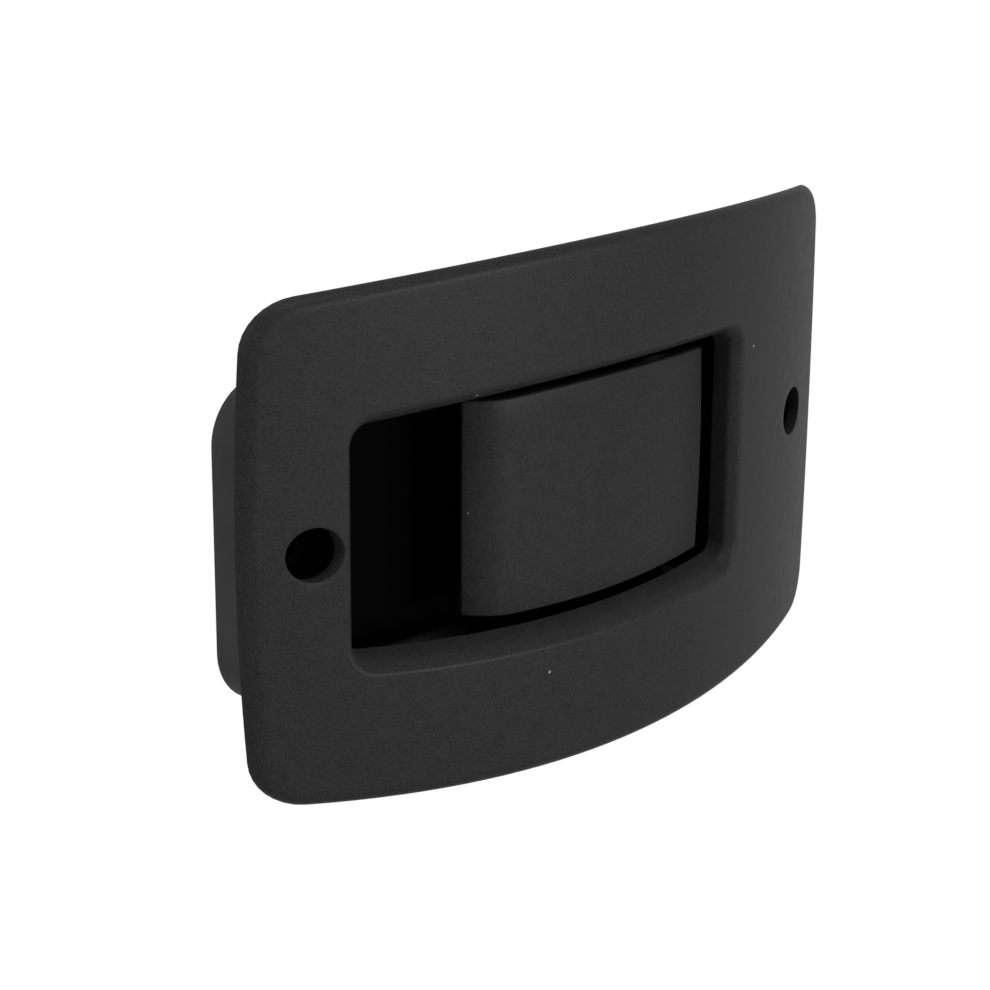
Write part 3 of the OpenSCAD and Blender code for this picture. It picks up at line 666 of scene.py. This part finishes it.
def post(x, y, z0, z1, radius, vertices=48):
    """A round post along Z."""
    bpy.ops.mesh.primitive_cylinder_add(
        vertices=vertices, radius=radius, depth=z1 - z0, location=(x, y, (z0 + z1) / 2))
    made = bpy.context.object
    bpy.ops.object.transform_apply(location=True)
    return made


# Lugs, shelf and ribs behind the skin, trimmed to its curve, then the hubs and the bores.
lug_out, lug_in, lug_t, eye_r = 19.4 * MM, 15.9 * MM, 3.5 * MM, 5 * MM
shelf_x0, shelf_z0, shelf_z1 = pivot_x - 22 * MM, -5 * MM, -1.5 * MM
arm_screw_x, arm_screw_y, arm_screw_r = (4.55 * MM, 12.05 * MM), -16.4 * MM, 1.5 * MM
back_left, back_right = -13.65 * MM, 25.55 * MM
stiffener_z, stiffener_t, stiffener_depth = (-11 * MM, 9.4 * MM), 1.6 * MM, 5.2 * MM
trim, hub_r, hub_gap, bore_r = 1.6 * MM, 3.3 * MM, 1.7 * MM, 2.05 * MM
lug_outline = [(shelf_x0 + 5 * MM, lever_front_y), (back_right, lever_front_y),
               (pivot_x + eye_r, pivot_y), (pivot_x, pivot_y + eye_r * 0.6),
               (pivot_x - eye_r * 0.8, pivot_y + eye_r * 0.6)]
back = None
for low in (-lug_out, lug_in):
    lug = slab(lug_outline, low, low + lug_t)
    cut_or_add(lug, post(pivot_x, pivot_y, low, low + lug_t, eye_r), "UNION")
    back = cut_or_add(back, lug, "UNION") if back else lug
shelf = block(shelf_x0, arm_screw_x[1] + 3 * MM, lever_front_y, arm_screw_y + 3 * MM,
              shelf_z0, shelf_z1)
cut_or_add(back, shelf, "UNION")
for z in stiffener_z:
    stiffener = block(back_left, back_right, lever_front_y, lever_front_y + stiffener_depth,
                      z, z + stiffener_t)
    cut_or_add(back, stiffener, "UNION")
behind_skin = post(lever_crest_x, lever_cy, -lever_half_h, lever_half_h, lever_r - trim, 720)
cut_or_add(back, behind_skin, "INTERSECT")
cut_or_add(back, post(pivot_x, pivot_y, -lug_in - MM, -hub_gap, hub_r), "UNION")
cut_or_add(back, post(pivot_x, pivot_y, hub_gap, lug_in + MM, hub_r), "UNION")
cut_or_add(lever, back, "UNION")
cut_or_add(lever, post(pivot_x, pivot_y, -lug_out - MM, lug_out + MM, bore_r), "DIFFERENCE")
for x in arm_screw_x:
    cut_or_add(lever, post(x, arm_screw_y, -6 * MM, 1.5 * MM, arm_screw_r, 24), "DIFFERENCE")
lever.vertex_groups.clear()
smooth(face_out(lever), 35)
paint(lever, grained)
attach(lever, "lever")
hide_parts("pull_lever")

# ---------------------------------------------------------------------------
# Housing: one boxed moulding of matte black plastic, screwed to the plate's back. Painted
# shade, near black and duller, fills a box round its recess and screw pockets, where light
# does not reach. It keeps the solid's form.
# ---------------------------------------------------------------------------
def coat(names, finish):
    """Gives CAD nodes their finish."""
    for name in names:
        paint(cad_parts[name], finish)


# The box of painted shade: inside it the colour is near black and the roughness full, as painted shade for
# the recess and the screw pockets.
shade_box_half_w, shade_box_half_h, shade_box_front = 70.6 * MM, 27.6 * MM, -2.3 * MM
boxed, boxed_shader, boxed_at = new_finish("black_housing_plastic")
flow = boxed_at.node("ShaderNodeTexNoise", Vector=boxed_at, Scale=55.0, Detail=4.0)
texture = boxed_at.node("ShaderNodeTexNoise", Vector=boxed_at, Scale=3600.0, Detail=1.0)
width, depth, height = (boxed_at.node("ShaderNodeSeparateXYZ", out=k, Vector=boxed_at)
                        for k in range(3))
painted_shade_box = ((width.math("ABSOLUTE", width - mid_x) < shade_box_half_w)
        * (height.math("ABSOLUTE", height) < shade_box_half_h) * (depth < shade_box_front))
shade = flow.node("ShaderNodeValToRGB", {"stops": [
    (0.3, (0.0175, 0.0177, 0.0181, 1)), (0.7, (0.0235, 0.0237, 0.0242, 1))]}, Fac=flow)
# The near-black colour mixed in by the box is painted shade, not the plastic's own colour.
feed(boxed_shader, Specular_IOR_Level=0.02,
     Base_Color=shade.node("ShaderNodeMix", {"data_type": "RGBA"}, out=2,
                           i0=painted_shade_box, i6=shade, i7=(0.0003, 0.0003, 0.0003, 1)),
     Roughness=flow.math("MAXIMUM", 0.45 + 0.12 * flow, painted_shade_box),
     Normal=texture.node("ShaderNodeBump", Height=texture, Strength=0.2, Distance=0.00003))
coat(["housing"], boxed)

# ---------------------------------------------------------------------------
# Screws: four self-tappers join plate and housing, two hold the release arm. Cold
# formed steel, zinc plated, with slightly cloudy patches and fine turning marks.
# ---------------------------------------------------------------------------
zinc, zinc_shader, zinc_at = new_finish("zinc_steel")
cloud = zinc_at.node("ShaderNodeTexNoise", Vector=zinc_at, Scale=420.0, Detail=4.0)
speck = zinc_at.node("ShaderNodeTexNoise", Vector=zinc_at, Scale=4200.0, Detail=2.0)
feed(zinc_shader, Metallic=1.0,
     Base_Color=cloud.node("ShaderNodeValToRGB", {"stops": [
         (0.3, (0.36, 0.37, 0.39, 1)), (0.7, (0.50, 0.51, 0.52, 1))]}, Fac=cloud),
     Roughness=0.26 + 0.22 * cloud,
     Normal=speck.node("ShaderNodeBump", Height=speck, Strength=0.2, Distance=0.00002))
coat(["housing_screws", "arm_screws"], zinc)

# ---------------------------------------------------------------------------
# Release arm: blanked and bent from steel sheet, then zinc plated like the screws. It
# sits on the lever's shelf and comes out through the slot in the recess floor.
# ---------------------------------------------------------------------------
coat(["release_arm"], zinc)

# ---------------------------------------------------------------------------
# Pivot pin and its washer: turned and stamped steel, zinc plated. The pin goes up
# through the housing, the spacers and the lever's lugs; the ring holds it.
# ---------------------------------------------------------------------------
coat(["pivot_pin", "pin_washer"], zinc)

# ---------------------------------------------------------------------------
# Snap ring on the pin's end: stamped from spring steel, bare and oiled, darker than
# the plated parts.
# ---------------------------------------------------------------------------
sprung, sprung_shader, sprung_at = new_finish("spring_steel")
oil = sprung_at.node("ShaderNodeTexNoise", Vector=sprung_at, Scale=300.0, Detail=3.0)
drawn_out = sprung_at.node("ShaderNodeVectorMath", {"operation": "MULTIPLY"},
                           i0=sprung_at, i1=(900, 900, 6000))
streak = sprung_at.node("ShaderNodeTexNoise", Vector=drawn_out, Scale=1.0, Detail=2.0)
feed(sprung_shader, Metallic=1.0,
     Base_Color=oil.node("ShaderNodeValToRGB", {"stops": [
         (0.35, (0.19, 0.19, 0.20, 1)), (0.7, (0.31, 0.30, 0.29, 1))]}, Fac=oil),
     Roughness=0.22 + 0.2 * oil + 0.06 * streak,
     Normal=streak.node("ShaderNodeBump", Height=streak, Strength=0.25, Distance=0.00002))
coat(["pin_retainer"], sprung)

# ---------------------------------------------------------------------------
# Return spring: hard drawn wire, six turns round the lever's lower hub. One leg lies on
# the recess floor, the other on the release arm, so its coil winds up with the lever.
# ---------------------------------------------------------------------------
coil_z0, coil_z1 = -13.3 * MM, -5.2 * MM
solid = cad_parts["return_spring"]
wire = bpy.data.meshes.new_from_object(solid)
wire.transform(solid.matrix_world)
spring = bpy.data.objects.new("return_spring_wire", wire)
scene.collection.objects.link(spring)
smooth(face_out(spring), 50)
paint(spring, sprung)
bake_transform(spring, "base", "lever", start=(pivot_x, pivot_y, coil_z0), end=(pivot_x, pivot_y, coil_z1))
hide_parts("return_spring")

# ---------------------------------------------------------------------------
# Rod clip: natural nylon, moulded, off-white and a little cloudy, with a waxy sheen.
# It snaps into the release arm's eye.
# ---------------------------------------------------------------------------
def nylon_finish(name, dark_tone, light_tone):
    """Nylon between two tones."""
    nylon, nylon_shader, nylon_at = new_finish(name)
    milk = nylon_at.node("ShaderNodeTexNoise", Vector=nylon_at, Scale=220.0, Detail=3.0)
    skin_marks = nylon_at.node("ShaderNodeTexNoise", Vector=nylon_at, Scale=3000.0, Detail=1.0)
    feed(nylon_shader, Specular_IOR_Level=0.4, Subsurface_Weight=0.15, Subsurface_Scale=0.001,
         Base_Color=milk.node("ShaderNodeValToRGB", {"stops": [
             (0.3, dark_tone), (0.7, light_tone)]}, Fac=milk),
         Roughness=0.38 + 0.14 * milk,
         Normal=skin_marks.node("ShaderNodeBump", Height=skin_marks, Strength=0.15,
                                Distance=0.00003))
    return nylon


coat(["rod_clip"], nylon_finish("natural_nylon", (0.66, 0.63, 0.55, 1), (0.77, 0.75, 0.69, 1)))

# ---------------------------------------------------------------------------
# Spacers: two nylon bushes between the lever's lugs and the housing. Their near-black
# colour is painted shade, so that nothing shows in the gaps round the lever.
# ---------------------------------------------------------------------------
# The spacers' near-black tones are painted shade for the gaps round the lever.
coat(["upper_spacer", "lower_spacer"],
     nylon_finish("nylon_with_painted_shade", (0.014, 0.012, 0.010, 1), (0.040, 0.035, 0.028, 1)))

# ---------------------------------------------------------------------------
# Buffers: two moulded rubber blocks pressed on the ends of the floor slot, dull
# black with a dusty bloom.
# ---------------------------------------------------------------------------
rubber, rubber_shader, rubber_at = new_finish("black_rubber")
bloom = rubber_at.node("ShaderNodeTexNoise", Vector=rubber_at, Scale=500.0, Detail=4.0)
pores = rubber_at.node("ShaderNodeTexNoise", Vector=rubber_at, Scale=4500.0, Detail=1.0)
feed(rubber_shader, Specular_IOR_Level=0.25,
     Base_Color=bloom.node("ShaderNodeValToRGB", {"stops": [
         (0.4, (0.010, 0.010, 0.010, 1)), (0.8, (0.024, 0.024, 0.023, 1))]}, Fac=bloom),
     Roughness=0.7 + 0.2 * bloom,
     Normal=pores.node("ShaderNodeBump", Height=pores, Strength=0.3, Distance=0.00004))
coat(["rest_buffer", "open_buffer"], rubber)
